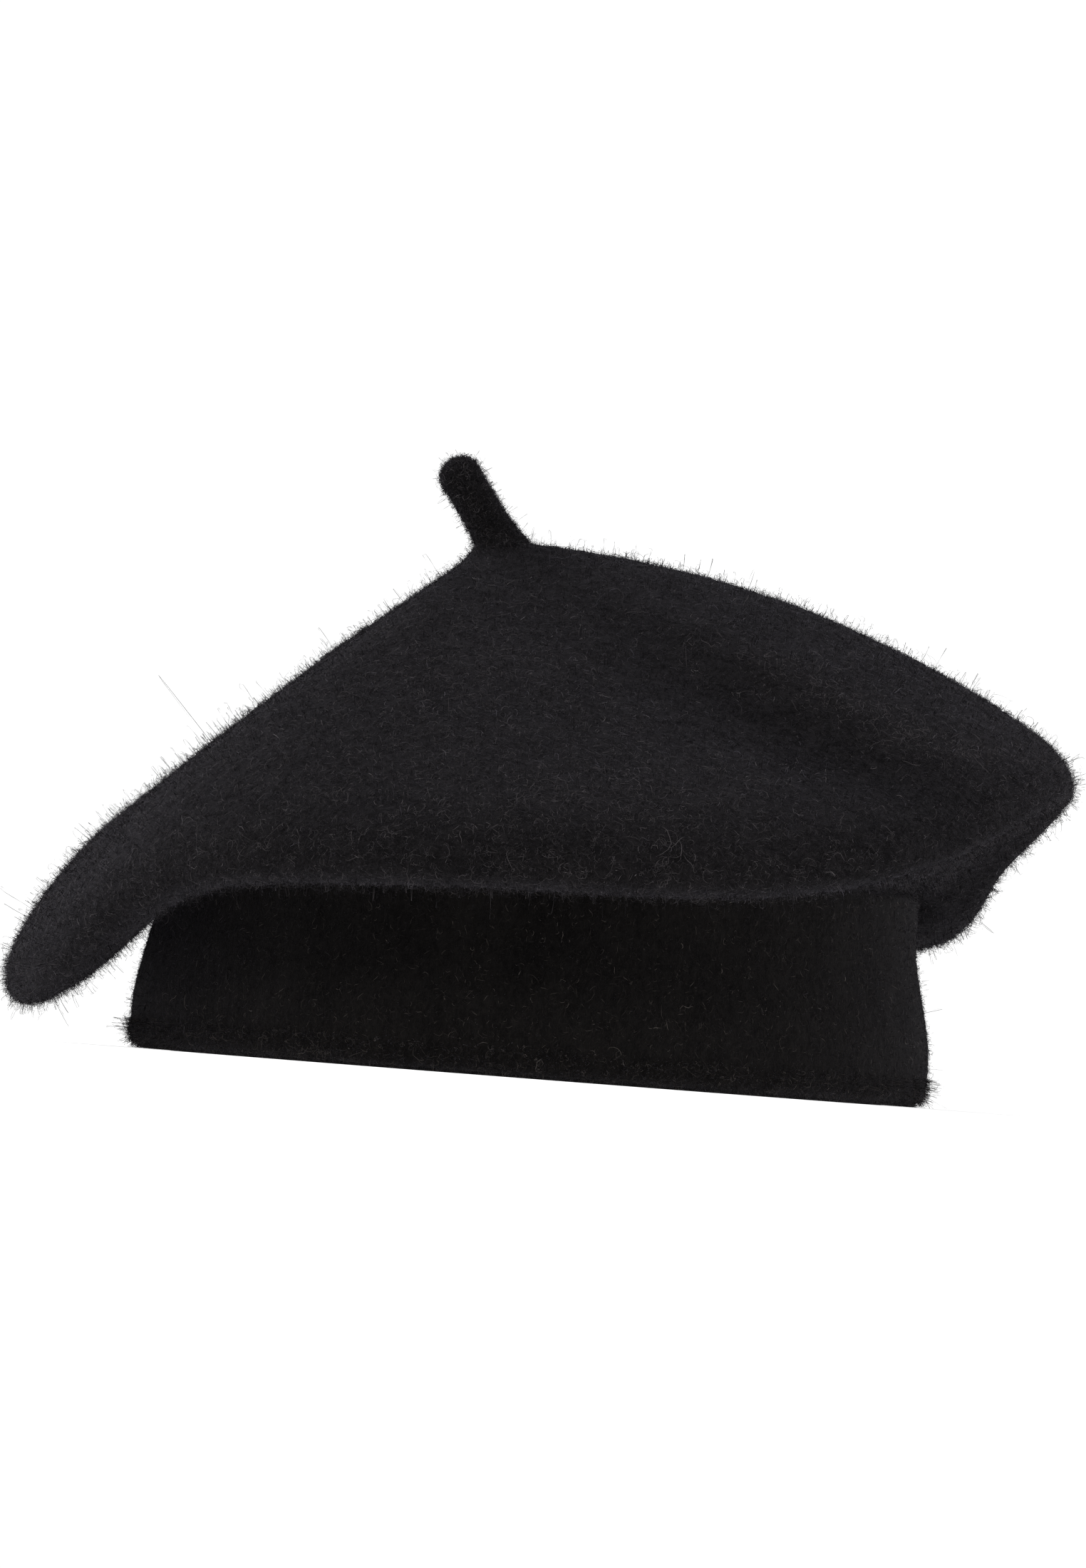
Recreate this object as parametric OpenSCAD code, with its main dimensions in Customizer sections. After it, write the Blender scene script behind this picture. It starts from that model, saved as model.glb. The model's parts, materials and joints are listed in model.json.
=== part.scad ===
// Felted wool beret with a stalk, a drooping crown and a tall doubled band.
// +Z is up, the band's lower edge stands on z = 0 and the band's axis is the Z axis.
// -Y is the front. The crown is pulled to the -X side, where its edge hangs down.

/* [Head opening and band] */
// Inside girth of the relaxed head opening
head_girth = 524; // [420:1:640]
// Height of the doubled band
band_h = 48; // [40:1:60]
// Felt thickness of each band layer
band_felt = 2; // [1.6:0.1:2.6]
// How far the outer band swells out above its lower edge
band_swell = 5; // [2:0.5:8]
// Radius at which the outer band's lower edge turns in
hem_round = 4; // [3:0.5:6]
// Width of the elastic between the two layers
elastic_w = 18; // [8:1:22]
// Thickness of the elastic
elastic_t = 0.8; // [0.4:0.1:1]

/* [Crown] */
// Felt thickness of the crown
crown_felt = 2.2; // [1.6:0.1:2.8]
// Height of the crown's top above the band's upper edge
crown_rise = 79; // [64:1:96]
// How far the crown's edge reaches past its neck, to the middle of the edge roll
overhang = 31.5; // [26:0.5:38]
// Radius of the soft roll at the crown's edge
roll_r = 8; // [6.5:0.5:9.5]
// How far the crown's top is pulled to the -X side
pull = 16.5; // [6:0.5:24]
// How far the crown's top falls from the +X to the -X side of the stalk
peak_fall = 3.6; // [0:0.1:5]
// How far the crown's edge lifts on the +X side
tip_lift = 28; // [14:1:34]
// Height of the hanging -X edge above the surface that the band stands on
flap_clear = 8; // [4:0.5:20]
// How far the crown's edge sinks at the back
back_drop = 12; // [0:1:14]

/* [Stalk] */
// Length of the stalk above its root
stalk_l = 14; // [10:0.5:20]
// Radius of the stalk where it leaves its root
stalk_r = 4.6; // [3.6:0.1:5.2]
// Radius of the stalk's rounded tip
stalk_tip_r = 4.9; // [3.6:0.1:6]
// How far the stalk leans to the -X side
stalk_lean = 35; // [0:1:40]

/* [Label] */
// Width of the folded care label
label_w = 20; // [12:0.5:22]
// Length of the care label below its fold line
label_l = 28; // [16:0.5:32]
// Thickness of each leaf of the label
label_leaf = 0.25; // [0.2:0.05:0.25]

/* [Sewing] */
// Thickness of the sewing yarn
yarn = 0.9; // [0.5:0.1:1.2]
// Distance between stitches round the band
stitch_pitch = 5.5; // [4:0.5:9]

/* [Hidden] */

felt_black = [0.15, 0.15, 0.16];
yarn_black = [0.1, 0.1, 0.11];
elastic_black = [0.22, 0.22, 0.23];
label_white = [0.88, 0.87, 0.84];

// Layers of the band, from the head outwards: inner band, crown neck, outer band.
snug = 0.15;                                       // room between two layers that lie on each other
crown_sides = 48;                                  // sections round the crown
facet_in = 1 - cos(180 / crown_sides);             // how far a chord cuts in, as a share of the radius
head_r = head_girth / (2 * PI);
inner_out_r = head_r + band_felt;
neck_in_r = (inner_out_r + snug) / (1 - facet_in);
neck_r = neck_in_r + crown_felt;
outer_in_r = neck_r + snug / 2;
outer_out_r = outer_in_r + band_felt;
tuck = 12;                                         // depth of crown neck caught between the layers
seam_angle = 90;                                   // the closing seams lie at the back
inner_seam_angle = 100;                            // beside the label

// Heights and reach of the crown's edge.
top_z = band_h + crown_rise;
edge_rise = 4.5;                                   // middle of the edge roll above the band, at the front
edge_r = neck_r + overhang;
flap_drop = band_h + edge_rise - roll_r - flap_clear;

function turn(a) = (a + 900) % 360 - 180;
// A smooth swelling that is 1 at azimuth c and fades over w0 degrees before it and w1 after it.
function swell(a, c, w0, w1, p = 2) =
    let (d = turn(a - c), w = d < 0 ? w0 : w1)
    exp(-pow(abs(d) / w, p));

function edge_z(a) = band_h + edge_rise + tip_lift * swell(a, 352, 34, 19)
    - flap_drop * swell(a, 184, 36, 33, 3) - back_drop * swell(a, 60, 42, 70)
    - 5.2 * swell(a, 230, 24, 34) - 1.6 * swell(a, 288, 26, 22);
function edge_reach(a) = edge_r + 3 * swell(a, 270, 50, 40) - 14 * swell(a, 13, 12, 27)
    + 0.5 * swell(a, 352, 20, 14);
// Angle below level at which the edge points outwards.
function edge_dip(a) = 30 + 32 * swell(a, 184, 40, 36, 3) - 4 * swell(a, 354, 34, 24);
// 0 is a straight cone from top to edge, 1 is fully domed.
function fullness(a) = 0.5 - 0.37 * swell(a, 178, 56, 60) + 0.5 * swell(a, 5, 50, 60)
    - 0.36 * swell(a, 278, 44, 28);
function doming(a) = 2.2 + 2 * swell(a, 188, 45, 55);
// The azimuth along which the fold's crest runs.
function crest(t) = 314.5 + 26 * (t - 0.54) + 20 * pow(t, 24);
function hump(t, c, w) = exp(-pow((t - c) / w, 2));
// The crisp fold that runs to the lifted edge, the hollow and shelf before it, and the hanging side's shoulder.
function fold(a, t) =
    3.6 * swell(a, crest(t), 5, 12) * hump(t, 0.8, 0.27)
    - 5 * swell(a, crest(t) - 12, 13, 7) * hump(t, 0.7, 0.22)
    + 2.4 * swell(a, 284, 38, 22) * hump(t, 0.93, 0.1)
    + 6.5 * swell(a, 186, 44, 36) * hump(t, 0.82, 0.17);
function peak_z(a) = top_z - peak_fall * (1 - cos(a)) / 2;

stalk_hole_r = 6.6;
top_steps = [0.09, 0.2, 0.33, 0.46, 0.58, 0.7, 0.81, 0.91];

// Control points of the crown's visible side at azimuth a, as [shift along X, radius, height]:
// from the stalk hole over the top, round the edge, back under it and down into the band.
function crown_line(a) = let (
        dip = edge_dip(a), ez = edge_z(a), er = edge_reach(a), k = fullness(a), p = doming(a),
        top = [0, er + roll_r * sin(dip), ez + roll_r * cos(dip)],
        tip = [0, er + 1.22 * roll_r * cos(dip), ez - 1.22 * roll_r * sin(dip)],
        low = [0, er - roll_r * sin(dip), ez - roll_r * cos(dip)],
        turn_z = band_h + 3, hang = low[2] - band_h, reach = low[1] - neck_r,
        hug = max(0, -hang) / 40)
    concat(
        [[-pull, stalk_hole_r, peak_z(a)]],
        [for (t = top_steps)
            [-pull * (1 - t), t * top[1], top_z - (top_z - top[2]) * ((1 - k) * t + k * pow(t, p)) + fold(a, t)]],
        [top, tip, low],
        [[0, neck_r + reach * (0.66 - 0.1 * hug), band_h + 1 + hang * 0.7],
         [0, neck_r + reach * (0.36 - 0.12 * hug) + 1, band_h + 2 + hang * 0.28],
         [0, neck_r + 3.9, turn_z + 0.4 + 0.12 * max(0, hang)],
         [0, neck_r + 0.6, turn_z],
         [0, neck_r, band_h + 1.2],
         [0, neck_r, band_h - 5],
         [0, neck_r, band_h - tuck]]);

function spline_point(p, i, u) = (pow(1 - u, 3) * p[i] + (3 * pow(u, 3) - 6 * u * u + 4) * p[i + 1]
    + (3 * u * u - 3 * pow(u, 3) + 3 * u + 1) * p[i + 2] + pow(u, 3) * p[i + 3]) / 6;
// A smooth line led by control points c, with n points to a span.
function spline(c, n) = let (e = concat([2 * c[0] - c[1]], c, [2 * c[len(c) - 1] - c[len(c) - 2]]))
    concat([for (i = [0:len(c) - 2], j = [0:n - 1]) spline_point(e, i, j / n)], [c[len(c) - 1]]);
// The same line moved to its inner side by d, in the plane of the section. Its first point, at the hole,
// moves straight down, so that the hole keeps its width.
function inset(line, d) = concat([line[0] - [0, 0, 1.3 * d]], [for (j = [1:len(line) - 1]) let (
        t = line[min(j + 1, len(line) - 1)] - line[j - 1], l = norm([t[1], t[2]]))
    line[j] + d * [0, t[2], -t[1]] / l]);
function placed(q, a) = [q[0] + q[1] * cos(a), q[1] * sin(a), q[2]];
function backwards(list) = [for (j = [len(list) - 1:-1:0]) list[j]];

module crown() {
    sections = [for (i = [0:crown_sides - 1])
        let (a = 360 * i / crown_sides, line = spline(crown_line(a), 2))
        [for (q = concat(line, backwards(inset(line, crown_felt)))) placed(q, a)]];
    n = len(sections[0]);
    faces = [for (i = [0:crown_sides - 1], j = [0:n - 1]) let (
            i1 = (i + 1) % crown_sides, j1 = (j + 1) % n,
            p = i * n + j, q = i1 * n + j, r = i1 * n + j1, s = i * n + j1)
        each [[p, q, r], [p, r, s]]];
    color(felt_black) polyhedron(points = [for (s = sections) each s], faces = faces, convexity = 8);
}

// The stalk turns about a point just above the crown's felt.
socket_gap = 0.3;
pivot_up = 3.2;                                    // pivot above the crown's top
pivot_aside = 1.9;                                 // and this far to the -X side of the hole's middle
pivot = [-pull - pivot_aside, 0, top_z + pivot_up];
socket_lean = 15;                                  // the socket faces between upright and the stalk's lean
socket_depth = 0.72;                               // depth of the socket's rim below the pivot, as a share of its radius
root_r = stalk_hole_r - 1;

module stalk() {
    color(felt_black) translate(pivot) rotate([0, -stalk_lean, 0]) rotate_extrude($fn = 48)
        intersection() {
            union() {
                circle(r = stalk_r, $fn = 48);
                polygon([[0, 0], [stalk_r, 0], [stalk_tip_r, stalk_l], [0, stalk_l]]);
                translate([0, stalk_l]) circle(r = stalk_tip_r, $fn = 48);
            }
            translate([0, -stalk_r]) square([stalk_tip_r + stalk_r, stalk_l + stalk_r + stalk_tip_r]);
        }
}

// The root passes through the crown's hole and ends in a knot inside.
knot_r = 2.6;
knot_reach = 5.4;
knot_z = top_z - peak_fall - 1.5 * crown_felt - knot_r - 2;  // clear of the crown's felt where it falls away
module stalk_root() {
    color(felt_black) difference() {
        union() {
            translate([-pull, 0, knot_z]) cylinder(h = top_z + pivot_up - knot_z, r = root_r, $fn = 48);
            translate([-pull, 0, knot_z]) rotate_extrude($fn = 48) translate([knot_reach, 0]) circle(r = knot_r, $fn = 32);
        }
        translate(pivot) sphere(r = stalk_r + socket_gap, $fn = 48);
        translate(pivot) rotate([0, -socket_lean, 0])
            translate([-20, -20, -socket_depth * stalk_r]) cube([40, 40, 20]);
    }
}

// A straight run of yarn from p to q.
module run(p, q) {
    v = q - p;
    translate(p) rotate([0, acos(v[2] / norm(v)), atan2(v[1], v[0])]) cylinder(h = norm(v), d = yarn, $fn = 16);
}

// Stitches from the root out into the crown's felt, round the hole.
stalk_stitch_count = 8;
module stalk_stitches() {
    color(yarn_black) for (i = [0:stalk_stitch_count - 1]) let (
            a = 360 * i / stalk_stitch_count,
            q = placed(inset(spline(crown_line(a), 2), crown_felt * 0.7)[2], a))
        run([-pull + (root_r - 0.8) * cos(a), (root_r - 0.8) * sin(a), q[2] + 1.2], q);
}

// The crown is closed by one seam from its neck to the stalk. Its stitches lie on the inside.
module crown_seam_stitches() {
    line = inset(spline(crown_line(seam_angle), 4), crown_felt + yarn / 2);
    zig = 0.9;
    first = 5;
    last = len(line) - 14;
    color(yarn_black) for (j = [first:2:last])
        run(placed(line[j], seam_angle) + [-zig, 0, 0], placed(line[j + 1], seam_angle) + [zig, 0, 0]);
}

hem_t = band_felt;
swell_z = 10;                                      // height of the outer band's widest part
swell_top = band_h * 5 / 6;                        // height where the swelling has faded
function ease(u) = let (v = max(0, min(1, u))) v * v * (3 - 2 * v);
function outer_r(z) = outer_out_r + band_swell * ease((swell_top - z) / (swell_top - swell_z));
wall_steps = 12;
corner_steps = 6;

module outer_band() {
    foot_r = outer_r(0);
    wall = [for (i = [0:wall_steps]) let (z = band_h + (hem_round - band_h) * i / wall_steps) [outer_r(z), z]];
    corner = [for (i = [1:corner_steps]) let (b = 90 * i / corner_steps)
        [foot_r - hem_round * (1 - cos(b)), hem_round * (1 - sin(b))]];
    inner_corner = [for (i = [corner_steps:-1:1]) let (b = 90 * i / corner_steps, r = hem_round - hem_t)
        [foot_r - hem_t - r * (1 - cos(b)), hem_t + r * (1 - sin(b))]];
    inner_wall = [for (q = backwards(wall)) [q[0] - band_felt, q[1]]];
    color(felt_black) rotate_extrude($fn = 96)
        polygon(concat(wall, corner, [[inner_out_r + snug, 0], [inner_out_r + snug, hem_t]], inner_corner, inner_wall));
}

label_t = 2 * label_leaf + 0.1;                    // two leaves and the air between them
label_room = 0.1;
label_y = head_r + 0.08 + label_t / 2;             // middle of the label, just outside the head opening
label_z = band_h - 1;                              // the label's fold line at the band's upper edge
module inner_band() {
    color(felt_black) difference() {
        rotate_extrude($fn = 96) translate([head_r, 0]) square([band_felt, band_h]);
        // a shallow bed that the label sinks into
        translate([-label_w / 2 - label_room, 0, label_z - label_l - 1])
            cube([label_w + 2 * label_room, label_y + label_t / 2 + label_room, label_l + 3]);
    }
}

elastic_z = band_h - tuck - elastic_w - 2;         // lower edge of the elastic, clear of the crown's neck
lap = 12;                                          // length over which the elastic's ends overlap
module band_elastic() {
    r = inner_out_r + 0.1;
    lap_angle = lap / r * 180 / PI;
    color(elastic_black) translate([0, 0, elastic_z]) {
        rotate_extrude($fn = 96) translate([r, 0]) square([elastic_t, elastic_w]);
        rotate([0, 0, -90 - lap_angle / 2]) rotate_extrude(angle = lap_angle, $fn = 96)
            translate([r + elastic_t - 0.01, 0]) square([elastic_t, elastic_w]);
    }
}

// Two rows of stitches through the overlap, and one to the inner band at each quarter.
elastic_rows = 4;
module elastic_stitches() {
    r0 = inner_out_r - band_felt / 2;
    r1 = inner_out_r + 2 * elastic_t + 0.2;
    color(yarn_black) for (i = [0:elastic_rows - 1], side = [-1, 1])
        let (a = -90 + side * 2.4, z = elastic_z + elastic_w * (i + 0.5) / elastic_rows)
        run([r0 * cos(a), r0 * sin(a), z], [r1 * cos(a), r1 * sin(a), z]);
    color(yarn_black) for (a = [0, 60, 120, 180], z = [elastic_z + 2, elastic_z + elastic_w - 2])
        run([r0 * cos(a), r0 * sin(a), z], [(r1 - elastic_t) * cos(a), (r1 - elastic_t) * sin(a), z]);
}

// Stitches that run outwards from r0 to r1, all round, at height z.
module stitch_ring(r0, r1, z, slant) {
    count = round(2 * PI * r0 / stitch_pitch);
    for (i = [0:count - 1]) let (a = 360 * (i + 0.5) / count)
        run([r0 * cos(a), r0 * sin(a), z], [r1 * cos(a + slant), r1 * sin(a + slant), z]);
}

module join_stitches() {
    color(yarn_black) stitch_ring(inner_out_r - 0.6, outer_out_r - 0.4, band_h - 5, 0.6);
}

module hem_stitches() {
    color(yarn_black) stitch_ring(inner_out_r - 1, inner_out_r + 2.6, hem_t / 2, 0.9);
}

// A zigzag seam that joins the two ends of a band layer, inside its thickness.
module band_seam(a, z0, z1, r_top, r_low) {
    steps = floor((z1 - z0) / 2.2);
    color(yarn_black) for (i = [0:steps - 1]) let (
            u = i / steps, v = (i + 0.8) / steps,
            ru = r_low + (r_top - r_low) * u, rv = r_low + (r_top - r_low) * v)
        run([ru * cos(a - 0.7), ru * sin(a - 0.7), z0 + (z1 - z0) * u],
            [rv * cos(a + 0.7), rv * sin(a + 0.7), z0 + (z1 - z0) * v]);
}

module outer_band_seam() {
    z0 = hem_round + 2;
    z1 = band_h - 8;
    mid = band_felt / 2;
    zm = (z0 + z1) / 2;
    band_seam(seam_angle, z0, zm, outer_r(zm) - mid, outer_r(z0) - mid);
    band_seam(seam_angle, zm, z1, outer_r(z1) - mid, outer_r(zm) - mid);
}

module inner_band_seam() {
    r = head_r + band_felt / 2;
    band_seam(inner_seam_angle, 3.5, band_h - 8, r, r);
}

// A satin strip folded double: the fold hangs free and both ends are caught in the seam above.
module care_label() {
    fold_r = label_t / 2;
    color(label_white) translate([-label_w / 2, label_y, label_z]) rotate([90, 0, 90]) linear_extrude(label_w)
        difference() {
            union() {
                circle(r = fold_r, $fn = 32);
                translate([-fold_r, -label_l + fold_r]) square([label_t, label_l - fold_r]);
                translate([0, -label_l + fold_r]) circle(r = fold_r, $fn = 32);
            }
            translate([-fold_r + label_leaf, -label_l + fold_r]) square([label_t - 2 * label_leaf, label_l - 3]);
        }
}

module label_stitches() {
    count = 4;
    z = label_z + label_t / 2 + yarn / 2 + 0.1;
    color(yarn_black) for (i = [0:count - 1]) let (x = (i - (count - 1) / 2) * label_w / count)
        run([x - 1.4, inner_out_r - yarn / 2 - 0.2, z], [x + 1.4, inner_out_r - yarn / 2 - 0.2, z]);
}

crown();
stalk();
stalk_root();
stalk_stitches();
crown_seam_stitches();
outer_band();
inner_band();
band_elastic();
elastic_stitches();
join_stitches();
hem_stitches();
outer_band_seam();
inner_band_seam();
care_label();
label_stitches();
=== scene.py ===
import json
import math

import bpy
import numpy as np
from mathutils import Matrix, Vector, noise


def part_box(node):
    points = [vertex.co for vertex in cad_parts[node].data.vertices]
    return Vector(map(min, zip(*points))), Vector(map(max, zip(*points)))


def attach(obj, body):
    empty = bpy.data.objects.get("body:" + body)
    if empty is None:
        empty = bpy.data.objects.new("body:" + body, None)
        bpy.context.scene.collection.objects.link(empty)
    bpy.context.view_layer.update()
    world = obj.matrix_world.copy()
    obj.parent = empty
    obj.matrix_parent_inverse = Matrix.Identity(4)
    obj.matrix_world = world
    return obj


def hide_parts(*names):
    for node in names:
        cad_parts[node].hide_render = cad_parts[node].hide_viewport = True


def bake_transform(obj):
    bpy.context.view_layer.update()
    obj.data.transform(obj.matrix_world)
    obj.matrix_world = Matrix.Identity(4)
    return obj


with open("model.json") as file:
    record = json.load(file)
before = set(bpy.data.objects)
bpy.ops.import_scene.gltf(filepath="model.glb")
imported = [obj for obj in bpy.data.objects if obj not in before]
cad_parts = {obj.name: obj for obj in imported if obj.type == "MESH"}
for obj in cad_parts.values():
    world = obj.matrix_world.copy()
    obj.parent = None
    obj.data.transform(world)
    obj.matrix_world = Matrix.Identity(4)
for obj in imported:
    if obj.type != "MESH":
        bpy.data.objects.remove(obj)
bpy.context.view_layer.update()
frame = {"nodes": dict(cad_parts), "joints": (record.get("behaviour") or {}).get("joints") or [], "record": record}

# ---------------------------------------------------------------------------------------------
# Crown
# One piece of knitted wool, fulled to felt and brushed: top, soft edge roll, underside and neck.
# It is pulled over to the -X side, lifts at the +X side, and its neck is caught in the band.
# ---------------------------------------------------------------------------------------------
MM = 0.001
head_r = next(m for m in frame["record"]["mounts"] if m["name"] == "head_opening")["dims"]["r_mm"]
band_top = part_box("inner_band")[1].z / MM
top_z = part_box("crown")[1].z / MM
neck_r = 87.9
crown_felt = 2.2
peak_fall = 3.6                       # how much lower the top's -X side lies
pull = 16.5                           # how far the top is pulled to the -X side
hole_r = 6.6                          # the opening that the stalk fills
overhang = 31.5
roll_r = 8                            # radius of the edge's soft roll
tip_lift = 28
flap_clear = 8                        # height of the hanging edge above the ground
back_drop = 12
tuck = 12                             # length of neck caught between the band's layers
edge_rise = 4.5
flap_drop = band_top + edge_rise - roll_r - flap_clear
top_steps = (0.09, 0.2, 0.33, 0.46, 0.58, 0.7, 0.81, 0.91)
crown_sides = 330
rows_per_span = 7


def swell(a, centre, before, after, power=2):
    """1 at azimuth centre, fading over before and after degrees on its two sides."""
    d = (a - centre + 900) % 360 - 180
    return np.exp(-np.abs(d / np.where(d < 0, before, after)) ** power)


def hump(t, centre, width):
    """1 where t is centre, fading over width on both sides."""
    return np.exp(-(((t - centre) / width) ** 2))


def crest(t):
    """Azimuth of the fold's crest, at t of the way from the stalk to the edge."""
    return 314.5 + 26 * (t - 0.54) + 20 * t**24


def fold(a, t):
    """The crisp fold that runs to the lifted edge, the hollow and shelf before it, and the hanging side's
    shoulder."""
    ridge = 3.6 * swell(a, crest(t), 5, 12) * hump(t, 0.8, 0.27)
    hollow = -5 * swell(a, crest(t) - 12, 13, 7) * hump(t, 0.7, 0.22)
    shelf = 2.4 * swell(a, 284, 38, 22) * hump(t, 0.93, 0.1)
    shoulder = 6.5 * swell(a, 186, 44, 36) * hump(t, 0.82, 0.17)
    return ridge + hollow + shelf + shoulder


def crown_net(a):
    """Control points of the crown's visible side at azimuths a, each as shift along X, radius and height in
    millimetres: out over the top, round the edge's roll, back under it and down into the band."""
    edge_z = (band_top + edge_rise + tip_lift * swell(a, 352, 34, 19)
              - flap_drop * swell(a, 184, 36, 33, 3) - back_drop * swell(a, 60, 42, 70)
              - 5.2 * swell(a, 230, 24, 34) - 1.6 * swell(a, 288, 26, 22))
    edge_r = (neck_r + overhang + 3 * swell(a, 270, 50, 40) - 14 * swell(a, 13, 12, 27)
              + 0.5 * swell(a, 352, 20, 14))
    dip = np.radians(30 + 32 * swell(a, 184, 40, 36, 3) - 4 * swell(a, 354, 34, 24))
    full = 0.5 - 0.37 * swell(a, 178, 56, 60) + 0.5 * swell(a, 5, 50, 60) - 0.36 * swell(a, 278, 44, 28)
    dome = 2.2 + 2 * swell(a, 188, 45, 55)
    peak_z = top_z - peak_fall * (1 - np.cos(np.radians(a))) / 2
    out_r, out_z = edge_r + roll_r * np.sin(dip), edge_z + roll_r * np.cos(dip)
    low_r, low_z = edge_r - roll_r * np.sin(dip), edge_z - roll_r * np.cos(dip)
    hang, reach = low_z - band_top, low_r - neck_r
    hug = np.maximum(0, -hang) / 40
    turn_z = band_top + 3
    net = [(-pull, hole_r, peak_z)]
    for t in top_steps:
        height = top_z - (top_z - out_z) * ((1 - full) * t + full * t ** dome) + fold(a, t)
        net.append((-pull * (1 - t), t * out_r, height))
    net += [
        (0, out_r, out_z),
        (0, edge_r + 1.22 * roll_r * np.cos(dip), edge_z - 1.22 * roll_r * np.sin(dip)),
        (0, low_r, low_z),
        (0, neck_r + reach * (0.66 - 0.1 * hug), band_top + 1 + hang * 0.7),
        (0, neck_r + reach * (0.36 - 0.12 * hug) + 1, band_top + 2 + hang * 0.28),
        (0, neck_r + 3.9, turn_z + 0.4 + 0.12 * np.maximum(0, hang)),
        (0, neck_r + 0.6, turn_z),
        (0, neck_r, band_top + 1.2),
        (0, neck_r, band_top - 5),
        (0, neck_r, band_top - tuck),
    ]
    return np.array([[np.broadcast_to(v, a.shape) for v in point] for point in net]).transpose(2, 0, 1)


def spline(net, per_span):
    """Smooth rows led by control points along the second axis."""
    ends = [2 * net[:, :1] - net[:, 1:2], net, 2 * net[:, -1:] - net[:, -2:-1]]
    e = np.concatenate(ends, axis=1)
    rows = []
    for i in range(net.shape[1] - 1):
        for u in np.arange(per_span) / per_span:
            rows.append(((1 - u) ** 3 * e[:, i] + (3 * u**3 - 6 * u * u + 4) * e[:, i + 1]
                         + (3 * u * u - 3 * u**3 + 3 * u + 1) * e[:, i + 2] + u**3 * e[:, i + 3]) / 6)
    return np.stack(rows + [net[:, -1]], axis=1)


def inset(lines, depth):
    """The same rows moved to the inner side of the felt, in the plane of each section."""
    along = np.empty_like(lines)
    along[:, 1:-1] = lines[:, 2:] - lines[:, :-2]
    along[:, 0], along[:, -1] = lines[:, 1] - lines[:, 0], lines[:, -1] - lines[:, -2]
    length = np.hypot(along[..., 1], along[..., 2])[..., None]
    side = np.stack([np.zeros_like(along[..., 0]), along[..., 2], -along[..., 1]], -1)
    return lines + depth * side / length


def placed(lines, a):
    """Sections of (shift, radius, height) in millimetres set round the Z axis, in metres."""
    c, s = np.cos(np.radians(a))[:, None], np.sin(np.radians(a))[:, None]
    return MM * np.stack([lines[..., 0] + lines[..., 1] * c, lines[..., 1] * s, lines[..., 2]], -1)


def grid_normals(grid, closed_rows=False):
    """Outward unit normals of a grid of points that is closed around."""
    around = np.roll(grid, -1, 0) - np.roll(grid, 1, 0)
    if closed_rows:
        along = np.roll(grid, -1, 1) - np.roll(grid, 1, 1)
    else:
        along = np.gradient(grid, axis=1)
    n = np.cross(along, around)
    return n / np.maximum(np.linalg.norm(n, axis=-1, keepdims=True), 1e-12)


def lumps(points, size, seed):
    """Smooth unevenness from -1 to 1 at points, with lumps about size metres across."""
    shift = Vector((seed * 7.3, seed * 3.1, seed * 5.7))
    flat = points.reshape(-1, 3) / size
    return np.array([noise.noise(Vector(p) + shift) for p in flat]).reshape(points.shape[:-1])


def mesh_piece(name, points, faces):
    """A smooth-shaded piece from an array of points and an array of faces with equal corners."""
    mesh = bpy.data.meshes.new(name)
    corners = faces.shape[1]
    mesh.vertices.add(len(points))
    mesh.vertices.foreach_set("co", points.astype(np.float32).ravel())
    mesh.loops.add(faces.size)
    mesh.loops.foreach_set("vertex_index", faces.astype(np.int32).ravel())
    mesh.polygons.add(len(faces))
    mesh.polygons.foreach_set("loop_start", np.arange(0, faces.size, corners, dtype=np.int32))
    mesh.polygons.foreach_set("use_smooth", np.ones(len(faces), bool))
    mesh.update(calc_edges=True)
    mesh.validate()
    piece = bpy.data.objects.new(name, mesh)
    bpy.context.scene.collection.objects.link(piece)
    return piece


def grid_faces(around, rows, closed_rows, closed_around=True):
    """Four-cornered faces over a grid whose points are numbered row by row within each place around."""
    i, j = np.meshgrid(np.arange(around if closed_around else around - 1),
                       np.arange(rows if closed_rows else rows - 1), indexing="ij")
    i2, j2 = (i + 1) % around, (j + 1) % rows
    return np.stack([i * rows + j, i * rows + j2, i2 * rows + j2, i2 * rows + j], -1).reshape(-1, 4)


def grid_piece(name, grid, closed_rows=False, closed_around=True):
    around, rows = grid.shape[:2]
    return mesh_piece(name, grid.reshape(-1, 3), grid_faces(around, rows, closed_rows, closed_around))


azimuths = np.arange(crown_sides) * 360 / crown_sides
crown_lines = spline(crown_net(azimuths), rows_per_span)
crown_skin = placed(crown_lines, azimuths)
crown_lining = placed(inset(crown_lines, crown_felt), azimuths)
crown_normals = grid_normals(crown_skin)
unevenness = 0.3 * lumps(crown_skin, 0.034, 1) + 0.16 * lumps(crown_skin, 0.013, 2)
caught = 3 * rows_per_span            # rows of the neck that lie between the band's layers
unevenness[:, -caught:] = 0
crown_skin = crown_skin + MM * unevenness[..., None] * crown_normals
crown = grid_piece("crown_felt", np.concatenate([crown_skin, crown_lining[:, ::-1]], 1), closed_rows=True)


# The felt's finish: matted, curling fibres over a dark ground, and a soft mottle from dyeing and brushing.
def socket(group, name, direction, kind="NodeSocketFloat", value=None):
    """An input or output of a node group."""
    made = group.interface.new_socket(name=name, in_out=direction, socket_type=kind)
    if value is not None:
        made.default_value = value
    return made


def add(tree, kind, settings=None, **inputs):
    """A node with its settings and inputs, which are values or other nodes' outputs. In an input's name _ stands
    for a space, and i0, i1 go by number."""
    made = tree.nodes.new(kind)
    for key, value in (settings or {}).items():
        setattr(made, key, value)
    for key, value in inputs.items():
        numbered = key[0] == "i" and key[1:].isdigit()
        slot = made.inputs[int(key[1:]) if numbered else key.replace("_", " ")]
        if isinstance(value, bpy.types.NodeSocket):
            tree.links.new(value, slot)
        else:
            slot.default_value = value
    return made


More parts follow.
